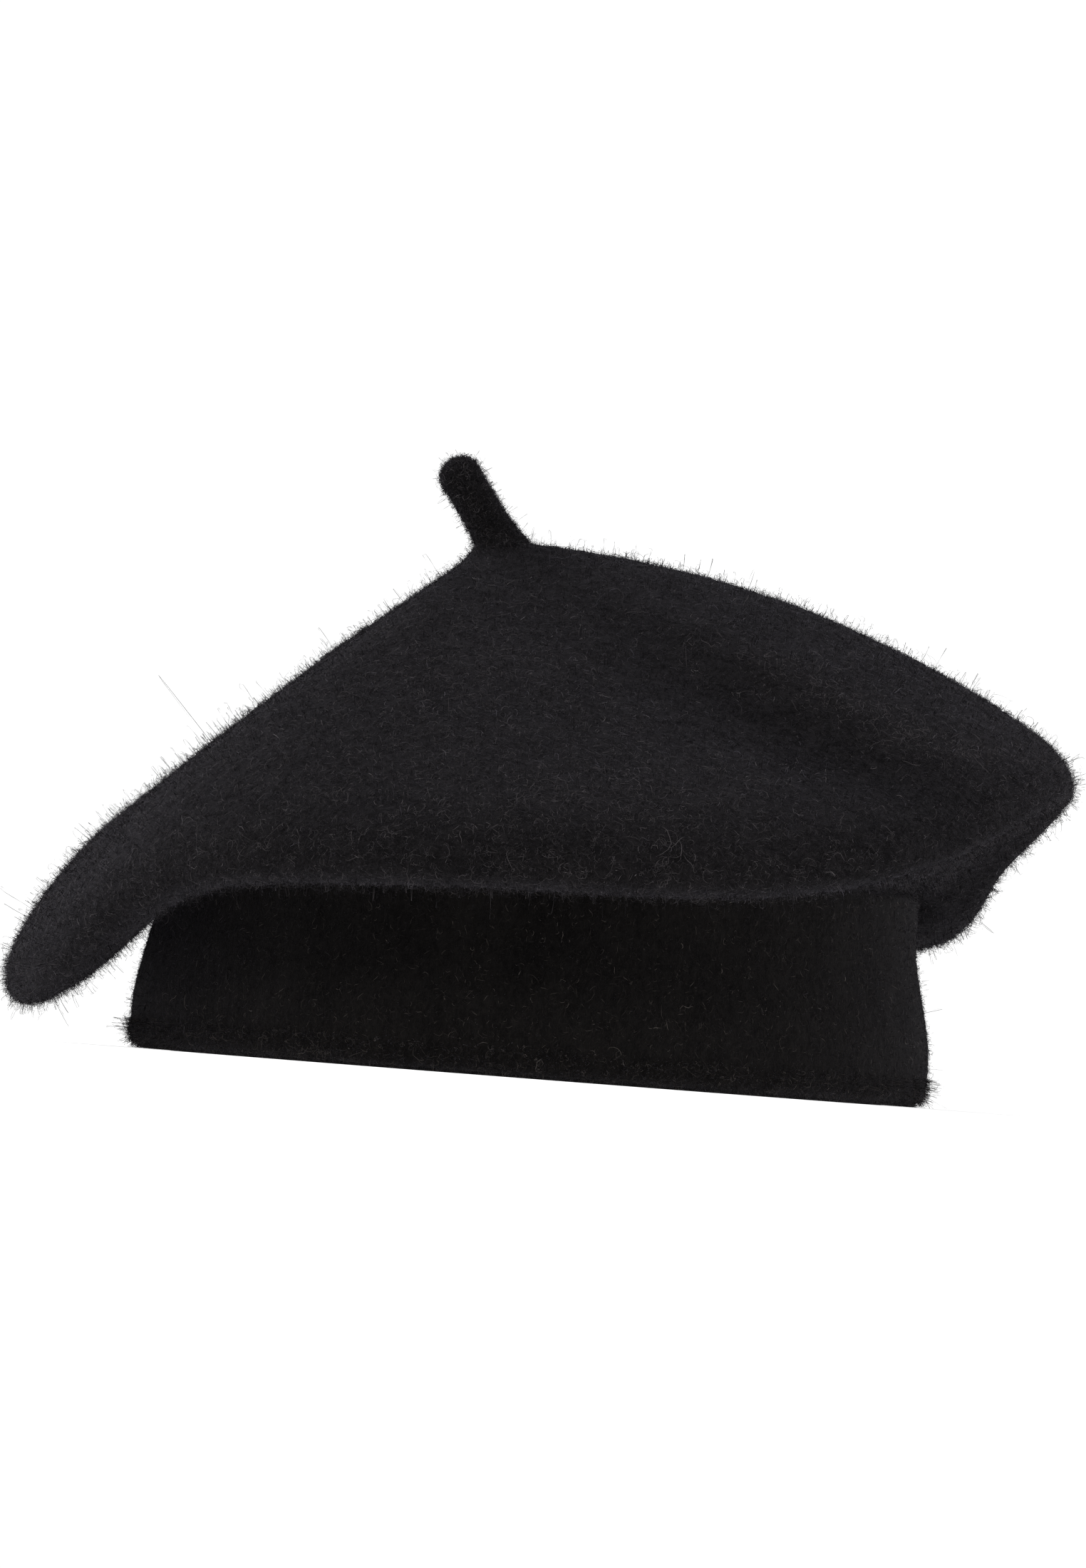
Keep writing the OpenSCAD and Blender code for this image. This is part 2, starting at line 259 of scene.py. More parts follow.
def math_node(tree, operation, a, b=0.0):
    return add(tree, "ShaderNodeMath", {"operation": operation}, i0=a, i1=b).outputs[0]


def matted_fibres():
    """Group: curling fibres drawn as the level lines of three noises, in the piece's own space."""
    group = bpy.data.node_groups.new("matted_fibres", "ShaderNodeTree")
    socket(group, "Stretch", "INPUT", "NodeSocketVector", (1, 1, 1))
    socket(group, "Loop size", "INPUT", value=1.4)
    socket(group, "Fineness", "INPUT", value=0.035)
    socket(group, "Strands", "OUTPUT")
    socket(group, "Mottle", "OUTPUT")
    socket(group, "Height", "OUTPUT")
    start, end = group.nodes.new("NodeGroupInput"), group.nodes.new("NodeGroupOutput")
    place = add(group, "ShaderNodeTexCoord").outputs["Object"]
    place = add(group, "ShaderNodeVectorMath", {"operation": "MULTIPLY"}, i0=place,
                i1=start.outputs["Stretch"]).outputs[0]
    per_metre = math_node(group, "DIVIDE", 1000.0, start.outputs["Loop size"])
    strands = None
    for turn, (share, offset, curl) in enumerate(((1.0, 0.0, 0.6), (1.7, 3.7, 0.9), (0.62, 9.1, 0.5))):
        moved = add(group, "ShaderNodeVectorMath", {"operation": "ADD"}, i0=place,
                    i1=(offset, offset, offset)).outputs[0]
        size = math_node(group, "MULTIPLY", per_metre, share)
        level = add(group, "ShaderNodeTexNoise", Vector=moved, Scale=size, Detail=1.0, Roughness=0.55,
                    Distortion=curl).outputs["Fac"]
        off_line = math_node(group, "ABSOLUTE", math_node(group, "SUBTRACT", level, 0.5))
        line = add(group, "ShaderNodeMapRange", {"interpolation_type": "SMOOTHSTEP"}, Value=off_line,
                   From_Min=0.0, From_Max=start.outputs["Fineness"], To_Min=1.0, To_Max=0.0).outputs[0]
        if strands is None:
            strands = line
        else:
            strands = math_node(group, "MAXIMUM", strands, math_node(group, "MULTIPLY", line, 1 - 0.2 * turn))
    broad = add(group, "ShaderNodeTexNoise", Vector=place, Scale=95.0, Detail=3.0,
                Roughness=0.6).outputs["Fac"]
    tufts = add(group, "ShaderNodeTexNoise", Vector=place, Scale=620.0, Detail=2.0,
                Roughness=0.65).outputs["Fac"]
    mottle = math_node(group, "ADD", math_node(group, "MULTIPLY", broad, 0.5),
                       math_node(group, "MULTIPLY", tufts, 0.5))
    height = math_node(group, "ADD", math_node(group, "MULTIPLY", strands, 0.45), tufts)
    group.links.new(strands, end.inputs["Strands"])
    group.links.new(mottle, end.inputs["Mottle"])
    group.links.new(height, end.inputs["Height"])
    return group


fibre_group = matted_fibres()


def felt(name, deep, pale, stretch=(1, 1, 1), loop_size=1.4, fineness=0.035, relief=0.5, sheen=0.07):
    """Brushed wool felt: deep is the ground between the fibres and pale the fibres that catch the light."""
    material = bpy.data.materials.new(name)
    material.use_nodes = True
    tree = material.node_tree
    shader = tree.nodes["Principled BSDF"]
    fibres = tree.nodes.new("ShaderNodeGroup")
    fibres.node_tree = fibre_group
    fibres.inputs["Stretch"].default_value = stretch
    fibres.inputs["Loop size"].default_value = loop_size
    fibres.inputs["Fineness"].default_value = fineness
    tone = add(tree, "ShaderNodeMapRange", Value=fibres.outputs["Mottle"], From_Min=0.36, From_Max=0.64,
               To_Min=0.0, To_Max=0.55).outputs[0]
    tone = math_node(tree, "ADD", tone, math_node(tree, "MULTIPLY", fibres.outputs["Strands"], 0.6))
    mixed = add(tree, "ShaderNodeMix", {"data_type": "RGBA"}, Factor=tone)
    mixed.inputs[6].default_value = (*deep, 1)
    mixed.inputs[7].default_value = (*pale, 1)
    tree.links.new(mixed.outputs[2], shader.inputs["Base Color"])
    bump = add(tree, "ShaderNodeBump", Strength=relief, Distance=0.0006, Height=fibres.outputs["Height"])
    tree.links.new(bump.outputs[0], shader.inputs["Normal"])
    shader.inputs["Roughness"].default_value = 0.92
    shader.inputs["Specular IOR Level"].default_value = 0.05
    shader.inputs["Sheen Weight"].default_value = sheen
    shader.inputs["Sheen Roughness"].default_value = 0.55
    shader.inputs["Sheen Tint"].default_value = (0.8, 0.76, 0.9, 1)
    return material


def wear(piece, material):
    """The piece gets one material."""
    piece.data.materials.clear()
    piece.data.materials.append(material)


crown_finish = felt("crown_felt", deep=(0.0042, 0.0038, 0.0040), pale=(0.017, 0.0155, 0.0162))
wear(crown, crown_finish)
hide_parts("crown")
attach(crown, "hat")


# The nap: fibre ends that brushing has pulled out of the felt. Each is a narrow curling ribbon. Its map
# holds its tone across and its length upwards, so one finish colours every fibre.
fibre_map = "OFBake"


def nap_finish(name, tint):
    """Wool fibres from near black to a few pale ones, with painted shade darkening them towards their roots."""
    material = bpy.data.materials.new(name)
    material.use_nodes = True
    tree = material.node_tree
    shader = tree.nodes["Principled BSDF"]
    place = add(tree, "ShaderNodeUVMap", {"uv_map": fibre_map}).outputs[0]
    across = add(tree, "ShaderNodeSeparateXYZ", Vector=place)
    tones = add(tree, "ShaderNodeValToRGB", Fac=across.outputs["X"])
    stops = tones.color_ramp.elements
    stops[0].color = (0.0042, 0.0040, 0.0042, 1)
    stops[1].color = (0.2, 0.19, 0.195, 1)
    for at, grey in ((0.5, 0.007), (0.75, 0.021), (0.92, 0.055), (0.98, 0.12)):
        stops.new(at).color = (grey * tint[0], grey * tint[1], grey * tint[2], 1)
    # Painted shade: each fibre's colour is darker towards its root.
    root_shade = add(tree, "ShaderNodeMapRange", Value=across.outputs["Y"], From_Min=0.0, From_Max=0.5,
                 To_Min=0.55, To_Max=1.0).outputs[0]
    shaded = add(tree, "ShaderNodeVectorMath", {"operation": "SCALE"}, i0=tones.outputs[0], Scale=root_shade)
    tree.links.new(shaded.outputs[0], shader.inputs["Base Color"])
    shader.inputs["Roughness"].default_value = 0.75
    shader.inputs["Specular IOR Level"].default_value = 0.05
    shader.inputs["Sheen Weight"].default_value = 0.13
    shader.inputs["Sheen Roughness"].default_value = 0.45
    shader.inputs["Sheen Tint"].default_value = (0.85, 0.8, 0.95, 1)
    return material


crown_fibres = nap_finish("crown_nap", (1.08, 0.98, 1.02))


def grow_nap(name, skin, count, length, lift, width, seed, knots=4, turning=0.8, comb=0.0, closed=True,
             crowd=None, pale=0.0, finish=crown_fibres, lying=False, painted_light=None, stray=0.025):
    """Fibres rooted over a grid of points: mean length, lift off the skin and width in metres, in knots steps.

    turning is how far a fibre turns at each knot, comb the share that leans down the skin, and crowd a function
    that weighs places. pale is added to every fibre's tone, and the grid of painted light and shade gives each
    point of the grid a tone to add. stray is the share of very pale fibres. Lying fibres take the light as the skin
    does."""
    rng = np.random.default_rng(seed)
    grid = np.concatenate([skin, skin[:1]], 0) if closed else skin
    corners = [grid[:-1, :-1], grid[:-1, 1:], grid[1:, 1:], grid[1:, :-1]]
    cross = np.cross(corners[1] - corners[0], corners[3] - corners[0]).reshape(-1, 3)
    area = np.linalg.norm(cross, axis=1)
    weight = area if crowd is None else area * crowd(corners[0]).ravel()
    pick = rng.choice(len(area), count, p=weight / weight.sum())
    u, v = rng.random((2, count, 1))
    a, b, c, d = (q.reshape(-1, 3)[pick] for q in corners)
    root = (a * (1 - u) + b * u) * (1 - v) + (d * (1 - u) + c * u) * v
    normal = cross[pick] / area[pick][:, None]
    side = np.cross(normal, (0.0, 0.0, 1.0)) + 1e-9
    side /= np.linalg.norm(side, axis=1, keepdims=True)
    rise = np.cross(side, normal)
    heading = rng.uniform(0, 2 * math.pi, count)
    heading = np.where(rng.random(count) < comb, rng.normal(-math.pi / 2, 0.5, count), heading)
    step = length * rng.lognormal(0, 0.4, count) / (knots - 1)
    high = lift * rng.lognormal(0, 0.6, count)
    arch = rng.uniform(0.5, 1.0, count)
    curl = rng.normal(0, turning, count)
    points = [root - 0.1 * MM * normal]
    for k in range(1, knots):
        before, after = math.pi * arch * (k - 1) / (knots - 1), math.pi * arch * k / (knots - 1)
        climb = high * (np.sin(after) - np.sin(before))
        along = np.sqrt(np.maximum(step**2 - climb**2, (0.3 * step) ** 2))
        way = np.cos(heading)[:, None] * side + np.sin(heading)[:, None] * rise
        points.append(points[-1] + way * along[:, None] + climb[:, None] * normal)
        heading = heading + curl + rng.normal(0, 0.55 * turning, count)
    spin = rng.normal(0, 0.4, count)
    shine = normal + rng.normal(0, 0.22, (count, 3))
    ribbon = []
    for k, point in enumerate(points[:-1]):
        way = points[k + 1] - point
        way /= np.linalg.norm(way, axis=1, keepdims=True)
        flat = np.cross(way, normal)
        flat /= np.maximum(np.linalg.norm(flat, axis=1, keepdims=True), 1e-9)
        edge = flat * np.cos(spin)[:, None] + np.cross(way, flat) * np.sin(spin)[:, None]
        half = 0.5 * width * (1 - 0.35 * k / (knots - 1))
        ribbon += [point - half * edge, point + half * edge]
    ribbon.append(points[-1])
    per_fibre = len(ribbon)
    faces = [t for k in range(knots - 2)
             for t in ((2 * k, 2 * k + 1, 2 * k + 3), (2 * k, 2 * k + 3, 2 * k + 2))]
    faces.append((per_fibre - 3, per_fibre - 2, per_fibre - 1))
    first = per_fibre * np.arange(count)[:, None]
    triangles = np.concatenate([first + np.array(t) for t in faces])
    strands = np.stack(ribbon, 1).reshape(-1, 3)
    strands[:, 2] = np.maximum(strands[:, 2], 0.1 * MM)     # none goes into the ground
    piece = mesh_piece(name, strands, triangles)
    if lying:
        shine = np.repeat(shine / np.linalg.norm(shine, axis=1, keepdims=True), per_fibre, 0)
        piece.data.normals_split_custom_set_from_vertices(shine.astype(np.float32))
    clump = 0.5 + 1.15 * lumps(root, 1.2 * MM, seed) + 0.5 * lumps(root, 0.5 * MM, seed + 1)
    tone = 0.5 * rng.random(count) + 0.5 * clump + pale
    # Painted light: the grid makes fibres paler as painted highlights and darker as painted shade.
    if painted_light is not None:
        tone += painted_light[:-1, :-1].ravel()[pick]
    tone = np.clip(tone, 0.01, 0.93)
    tone = np.where(rng.random(count) < stray, rng.uniform(0.88, 0.985, count), tone)
    beside = np.array([-0.002, 0.002] * (knots - 1) + [0.0])
    upward = np.array([k / (knots - 1) for k in range(knots - 1) for _ in (0, 1)] + [1.0])
    upward = np.broadcast_to(upward, (count, per_fibre))
    places = np.stack([tone[:, None] + beside, upward], -1).reshape(-1, 2)
    layer = piece.data.uv_layers.new(name=fibre_map)
    layer.uv.foreach_set("vector", places[triangles.ravel()].astype(np.float32).ravel())
    wear(piece, finish)
    return piece


edge_row = 11 * rows_per_span         # the row along the roll, between top and underside
under_row = 16 * rows_per_span        # the last row of the underside that shows
closed_skin = np.concatenate([crown_skin, crown_skin[:1]], 0)
lie = dict(length=1.8 * MM, lift=0.34 * MM, width=0.16 * MM, lying=True)
fuzz = dict(length=3.3 * MM, lift=1.05 * MM, width=0.1 * MM, knots=7, turning=1.0, pale=0.06)

# Painted light and shade added to the nap's tone: painted highlights on the crest, the shelf and a patch on the
# front, painted shade in the hollow, on the lifted side and round the stalk.
row_t = np.interp(np.arange(crown_skin.shape[1]) / rows_per_span, np.arange(10), (0, *top_steps, 1))[None, :]
side_a = np.append(azimuths, 360)[:, None]
hollow_a = 301 + 39 * (row_t - 0.55)
crown_painted_light = (0.36 * swell(side_a, crest(row_t) - 1, 4, 5) * hump(row_t, 0.82, 0.26)
               - 0.6 * swell(side_a, hollow_a, 8, 5) * hump(row_t, 0.82, 0.27)
               + 0.13 * swell(side_a, 280, 34, 16) * hump(row_t, 0.9, 0.12)
               - 0.22 * swell(side_a, 355, 45, 60) * hump(row_t, 0.5, 0.4)
               - 0.24 * hump(row_t, 0, 0.27)
               + 0.07 * swell(side_a, 262, 40, 30) * hump(row_t, 0.5, 0.25))
for part in range(4):
    first_side, last_side = part * crown_sides // 4, (part + 1) * crown_sides // 4
    patch = closed_skin[first_side:last_side + 1, :edge_row]
    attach(grow_nap(f"crown_nap_{part + 1}", patch, 36000, seed=20 + part, closed=False,
                     painted_light=crown_painted_light[first_side:last_side + 1, :edge_row], **lie), "hat")
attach(grow_nap("crown_under_nap", crown_skin[:, edge_row:under_row], 36000, seed=31, **lie), "hat")
for part, (first_side, last_side) in enumerate(((0, crown_sides // 2), (crown_sides // 2, crown_sides))):
    half = closed_skin[first_side:last_side + 1]
    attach(grow_nap(f"crown_fuzz_top_{part + 1}", half[:, :edge_row], 17500, seed=32 + part, closed=False,
                     painted_light=crown_painted_light[first_side:last_side + 1, :edge_row], **fuzz), "hat")
    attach(grow_nap(f"crown_fuzz_edge_{part + 1}", half[:, edge_row - 14:under_row], 13500, seed=36 + part,
                     closed=False, **fuzz), "hat")


def near_stalk(place):
    """Most of the long loose fibres lie on the crown's front, beside the stalk."""
    gap = np.linalg.norm(place - np.array([-2, -24, 116]) * MM, axis=-1)
    return 0.02 + np.exp(-((gap / (17 * MM)) ** 2))


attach(grow_nap("crown_loose_fibres", crown_skin[:, 7:edge_row], 70, 7 * MM, 0.45 * MM, 0.09 * MM, 34,
                 knots=18, turning=0.22, crowd=near_stalk, pale=0.5), "hat")

# ---------------------------------------------------------------------------------------------
# Stalk
# A short tail of the same felted knit, drawn up out of the crown's middle, so its foot runs into the felt.
# It leans to the -X side and bends at its foot.
# ---------------------------------------------------------------------------------------------
stalk_joint = next(j for j in frame["joints"] if j["name"] == "stalk_bend")
pivot = np.array(stalk_joint["pos_m"]) / MM
stalk_lean = 35
stalk_length = 14
stalk_foot_r, stalk_neck_r, stalk_tip_r = 5.1, 4.7, 4.95
foot_row = 3                          # row of the crown's skin on which the stalk's foot spreads
stalk_sides = 66
lean_way = np.array([-math.sin(math.radians(stalk_lean)), 0, math.cos(math.radians(stalk_lean))])


def stalk_ring(centre, radius, tilt):
    """A ring of stalk_sides points round centre, its plane tilted to the -X side."""
    c, s = math.cos(math.radians(tilt)), math.sin(math.radians(tilt))
    a = np.arange(stalk_sides) * 2 * math.pi / stalk_sides
    ring = np.stack([np.cos(a) * c, np.sin(a), np.cos(a) * s], -1)
    return np.array(centre) + radius * ring


def stalk_rings():
    """Rings from the foot, which lies just under the crown's skin, up to the rounded tip."""
    every = crown_sides // stalk_sides
    foot = crown_skin[::every, foot_row] / MM - 0.9 * crown_normals[::every, foot_row]
    inward = (crown_skin[::every, foot_row - 1] - crown_skin[::every, foot_row + 1]) / MM
    inward *= 2.2 / np.linalg.norm(inward, axis=1, keepdims=True)
    neck_centre = pivot - 1.2 * lean_way
    neck = stalk_ring(neck_centre, stalk_foot_r, stalk_lean)
    upward = 3 * np.repeat([lean_way], stalk_sides, 0)
    rings = []
    for u in np.linspace(0, 1, 9):    # the foot's soft fillet
        h = (2 * u**3 - 3 * u * u + 1, u**3 - 2 * u * u + u, 3 * u * u - 2 * u**3, u**3 - u * u)
        rings.append(h[0] * foot + h[1] * inward + h[2] * neck + h[3] * upward)
    for s in np.linspace(0.09, 1, 12):
        radius = stalk_neck_r + (stalk_foot_r - stalk_neck_r) * math.exp(-s * 9)
        radius += (stalk_tip_r - stalk_neck_r) * s**2 - 0.1 * math.sin(math.pi * s)
        rings.append(stalk_ring(neck_centre + lean_way * (1.2 + stalk_length) * s, radius, stalk_lean))
    tip = pivot + lean_way * stalk_length
    for b in np.radians((14, 28, 42, 55, 67, 77, 85)):
        centre = tip + lean_way * stalk_tip_r * 0.96 * math.sin(b)
        rings.append(stalk_ring(centre, stalk_tip_r * math.cos(b), stalk_lean))
    rings.append(np.repeat([tip + lean_way * stalk_tip_r * 0.965], stalk_sides, 0))
    return MM * np.stack(rings[::-1], 1)


stalk_skin = stalk_rings()
stalk_normals = grid_normals(stalk_skin)
stalk_bumps = 0.22 * lumps(stalk_skin, 0.007, 5) + 0.12 * lumps(stalk_skin, 0.003, 6)
stalk_bumps[:, -3:] = 0
stalk_bumps[:, :2] = stalk_bumps[:1, 2:3].mean()
stalk_skin = stalk_skin + MM * stalk_bumps[..., None] * stalk_normals
stalk = grid_piece("stalk_felt", stalk_skin)
wear(stalk, felt("stalk_felt", deep=(0.0042, 0.0038, 0.0039), pale=(0.016, 0.0147, 0.015), loop_size=1.1,
                 relief=0.6))
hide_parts("stalk")
stalk_nap = grow_nap("stalk_nap", stalk_skin[:, 2:], 6500, 1.7 * MM, 0.3 * MM, 0.15 * MM, 41, lying=True)
stalk_fuzz = grow_nap("stalk_fuzz", stalk_skin[:, 2:], 3600, 2.2 * MM, 0.7 * MM, 0.08 * MM, 42, knots=7,
                      turning=1.0)
for piece in (stalk, stalk_nap, stalk_fuzz):
    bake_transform(piece)
wear(frame["nodes"]["stalk_root"], crown_finish)

# ---------------------------------------------------------------------------------------------
# Outer band
# A tall strip of the same felt, pressed smooth with its nap brushed downwards, seamed at the back.
# It swells towards its foot and turns in under a soft, sewn edge.
# ---------------------------------------------------------------------------------------------
outer_top_r = 90.0
foot_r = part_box("outer_band")[1].x / MM
hem_round = 4
band_felt = 2
swell_bottom, swell_top = 10, 40
band_sides = 720
inner_out_r = head_r + band_felt
seam_azimuth = 90
hem_lift = 0.8                        # height of the felt above the ground, which only the fuzz bridges


def ease(u):
    """0 at 0 and below, 1 at 1 and above, smooth between."""
    v = np.clip(u, 0, 1)
    return v * v * (3 - 2 * v)


def outer_r(z):
    """Outer radius at height z, in millimetres."""
    return outer_top_r + (foot_r - outer_top_r) * ease((swell_top - z) / (swell_top - swell_bottom))


def outer_band_profile():
    """Radius and height round the band's section: down the outside, round the foot, in, and up the inside."""
    heights = np.linspace(band_top + 0.9, hem_round, 30)
    lip = [(outer_top_r - 1.5, band_top + 2.4), (outer_top_r - 0.7, band_top + 2.2),
           (outer_top_r - 0.15, band_top + 1.6)]
    wall = lip + [(outer_r(z), z) for z in heights]
    corner = [(foot_r - hem_round * (1 - math.cos(b)), hem_lift + (hem_round - hem_lift) * (1 - math.sin(b)))
              for b in np.radians(np.arange(12, 91, 13))]
    flange = [(inner_out_r + 2.5, hem_lift), (inner_out_r + 0.25, hem_lift), (inner_out_r + 0.2, band_felt),
              (inner_out_r + 3, band_felt + 0.1)]
    lining = [(outer_r(z) - band_felt, z) for z in np.linspace(hem_round + 1.5, band_top, 16)]
    return np.array(wall + corner + flange + lining), len(wall) + len(corner) + 1


band_profile, band_shown = outer_band_profile()
band_azimuths = np.arange(band_sides) * 360 / band_sides
band_grid = MM * np.stack([band_profile[None, :, 0] * np.cos(np.radians(band_azimuths))[:, None],
                           band_profile[None, :, 0] * np.sin(np.radians(band_azimuths))[:, None],
                           np.broadcast_to(band_profile[None, :, 1], (band_sides, len(band_profile)))], -1)
band_normals = grid_normals(band_grid, closed_rows=True)
height = band_profile[None, :, 1]
free = ease(height / 8) * ease((band_top + 1 - height) / 6)
soft = 0.55 * lumps(band_grid * np.array([1, 1, 0.6]), 0.045, 8) + 0.2 * lumps(band_grid, 0.014, 9)
sewn = 0.35 * lumps(band_grid, 0.006, 10) + 0.25 * lumps(band_grid, 0.0025, 11)
pucker = sewn * np.exp(-((height - 1.8) / 3.2) ** 2)
seam_gap = (band_azimuths[:, None] - seam_azimuth) * math.pi / 180 * foot_r
seam_dent = -0.5 * np.exp(-(seam_gap / 0.8) ** 2) * ease(height / 3)
shown = (np.arange(len(band_profile)) < band_shown)[None, :]
band_grid = band_grid + MM * ((soft * free + pucker + seam_dent) * shown)[..., None] * band_normals
band_grid[..., 2] = np.maximum(band_grid[..., 2], 0)
outer_band = grid_piece("outer_band_felt", band_grid, closed_rows=True)
band_finish = felt("band_felt", deep=(0.0034, 0.003, 0.0028), pale=(0.0125, 0.0112, 0.0104),
                   stretch=(1, 1, 0.42), loop_size=1.0, fineness=0.04, relief=0.4, sheen=0.05)
wear(outer_band, band_finish)
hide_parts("outer_band")
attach(outer_band, "hat")
band_fibres = nap_finish("band_nap", (1.2, 1.06, 0.98))
band_face = band_grid[:, :band_shown]
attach(grow_nap("outer_band_nap", band_face, 39000, 1.6 * MM, 0.24 * MM, 0.13 * MM, 51, comb=0.5,
                 lying=True, stray=0.01, finish=band_fibres), "hat")
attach(grow_nap("outer_band_fuzz", band_face, 14000, 2.1 * MM, 0.6 * MM, 0.08 * MM, 52, knots=7, turning=1.0,
                 stray=0.004, pale=-0.1, finish=band_fibres), "hat")
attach(grow_nap("hem_fuzz", band_face[:, -11:], 15000, 2.8 * MM, 1.1 * MM, 0.1 * MM, 53, knots=8, turning=1.1,
                 comb=0.5, finish=band_fibres), "hat")

# ---------------------------------------------------------------------------------------------
# Inner band
# The second layer, against the head: the same felt, hardly brushed, seamed beside the label.
# It is sunk a little where the label lies.
# ---------------------------------------------------------------------------------------------
label_low, label_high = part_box("care_label")
inner_sides = 480
inner_azimuths = np.arange(inner_sides) * 360 / inner_sides
inner_rows = 36
inner_profile = np.array([(head_r, z) for z in np.linspace(0.5, band_top - 0.5, inner_rows)]
                         + [(head_r + 0.5, band_top), (inner_out_r - 0.4, band_top)]
                         + [(inner_out_r, z) for z in np.linspace(band_top - 0.5, 0.5, 8)]
                         + [(inner_out_r - 0.4, 0.0), (head_r + 0.5, 0.0)])
inner_side = np.arange(len(inner_profile)) <= inner_rows
radius = np.broadcast_to(inner_profile[None, :, 0], (inner_sides, len(inner_profile))).copy()
height = np.broadcast_to(inner_profile[None, :, 1], radius.shape)
across = radius * np.cos(np.radians(inner_azimuths))[:, None]
at_back = np.sin(np.radians(inner_azimuths))[:, None] > 0
label_half = 13                       # half width of the bed that the label lies in
near_label = ease((label_half + 0.5 - np.abs(across)) / 3) * ease((height - (label_low.z / MM - 3)) / 2) * at_back
bed = label_high.y / MM + 0.12
bed_r = bed / np.maximum(np.sin(np.radians(inner_azimuths))[:, None], 0.5)
radius = np.where(inner_side[None, :], radius + (np.maximum(bed_r, head_r) - head_r) * near_label, radius)
inner_grid = MM * np.stack([radius * np.cos(np.radians(inner_azimuths))[:, None],
                            radius * np.sin(np.radians(inner_azimuths))[:, None], height], -1)
inner_grid = inner_grid[:, ::-1]
inner_band = grid_piece("inner_band_felt", inner_grid, closed_rows=True)
inner_finish = felt("inner_band_felt", deep=(0.0038, 0.0034, 0.0032), pale=(0.0125, 0.0113, 0.0107),
                    stretch=(1, 1, 0.6), loop_size=0.9, fineness=0.05, relief=0.35, sheen=0.05)
wear(inner_band, inner_finish)
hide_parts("inner_band")
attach(inner_band, "hat")


def beside_label(place):
    """No nap grows under the label."""
    return np.hypot(place[..., 0] / label_half, (place[..., 1] - 0.084) / 4) > MM


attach(grow_nap("inner_band_nap", inner_grid[:, -inner_rows:], 16000, 1.3 * MM, 0.12 * MM, 0.12 * MM, 61,
                 comb=0.3, lying=True, finish=band_fibres, crowd=beside_label), "hat")

# ---------------------------------------------------------------------------------------------
# Yarn and elastic
# Every seam is sewn with black two-ply yarn. Each stitch lies where the frame has it.
# The elastic lies between the band's layers, with its ends lapped at the front.
# ---------------------------------------------------------------------------------------------
ply_r = 0.24
ply_gap = 0.19                        # how far each ply's middle lies from the yarn's
ply_turn = 1.9                        # length of yarn over which the plies turn once
ply_sides, ply_steps = 8, 12


def thread_grain():
    """Group: the unevenness of threads, in the piece's own space, with a number of threads per metre each way."""
    group = bpy.data.node_groups.new("thread_grain", "ShaderNodeTree")
    socket(group, "Threads", "INPUT", "NodeSocketVector", (1000, 1000, 1000))
    socket(group, "Detail", "INPUT", value=2.0)
    socket(group, "Grain", "OUTPUT")
    start, end = group.nodes.new("NodeGroupInput"), group.nodes.new("NodeGroupOutput")
    place = add(group, "ShaderNodeTexCoord").outputs["Object"]
    spread = add(group, "ShaderNodeVectorMath", {"operation": "MULTIPLY"}, i0=place,
                 i1=start.outputs["Threads"]).outputs[0]
    grain = add(group, "ShaderNodeTexNoise", Vector=spread, Scale=1.0, Detail=start.outputs["Detail"]).outputs[0]
    group.links.new(grain, end.inputs["Grain"])
    return group


thread_group = thread_grain()


def threaded(name, dark, light, threads, detail, roughness, relief=0.0):
    """A spun or woven finish that runs from dark to light along its threads. Returns it and its shader."""
    material = bpy.data.materials.new(name)
    material.use_nodes = True
    tree = material.node_tree
    shader = tree.nodes["Principled BSDF"]
    thread = tree.nodes.new("ShaderNodeGroup")
    thread.node_tree = thread_group
    thread.inputs["Threads"].default_value = threads
    thread.inputs["Detail"].default_value = detail
    mixed = add(tree, "ShaderNodeMix", {"data_type": "RGBA"}, Factor=thread.outputs["Grain"])
    mixed.inputs[6].default_value = (*dark, 1)
    mixed.inputs[7].default_value = (*light, 1)
    tree.links.new(mixed.outputs[2], shader.inputs["Base Color"])
    if relief:
        bump = add(tree, "ShaderNodeBump", Strength=relief, Distance=0.0001, Height=thread.outputs["Grain"])
        tree.links.new(bump.outputs[0], shader.inputs["Normal"])
    shader.inputs["Roughness"].default_value = roughness
    return material, shader


yarn, yarn_shader = threaded("black_yarn", (0.002, 0.002, 0.002), (0.022, 0.02, 0.021), (4200, 4200, 4200), 2, 0.8,
                             relief=0.5)
yarn_shader.inputs["Specular IOR Level"].default_value = 0.15


def stitch_ends(node):
    """Both ends of every stitch of a CAD node, in metres."""
    stitches = frame["nodes"][node]
    corners = np.array([stitches.matrix_world @ v.co for v in stitches.data.vertices])
    edges = np.array([e.vertices[:] for e in stitches.data.edges])
    same = np.unique(np.round(corners, 6), axis=0, return_inverse=True)[1].ravel()
    edges = same[edges]
    group = np.arange(same.max() + 1)
    while True:                       # spread the lowest number over each stitch
        lowest = group.copy()
        np.minimum.at(lowest, edges[:, 0], group[edges[:, 1]])
        np.minimum.at(lowest, edges[:, 1], group[edges[:, 0]])
        if (lowest == group).all():
            break
        group = lowest
    ends = []
    for number in np.unique(group):
        points = corners[group[same] == number]
        middle = points.mean(0)
        way = np.linalg.svd(points - middle, full_matrices=False)[2][0]
        reach_along = (points - middle) @ way
        ends.append((middle + way * reach_along.min(), middle + way * reach_along.max()))
    return np.array(ends)


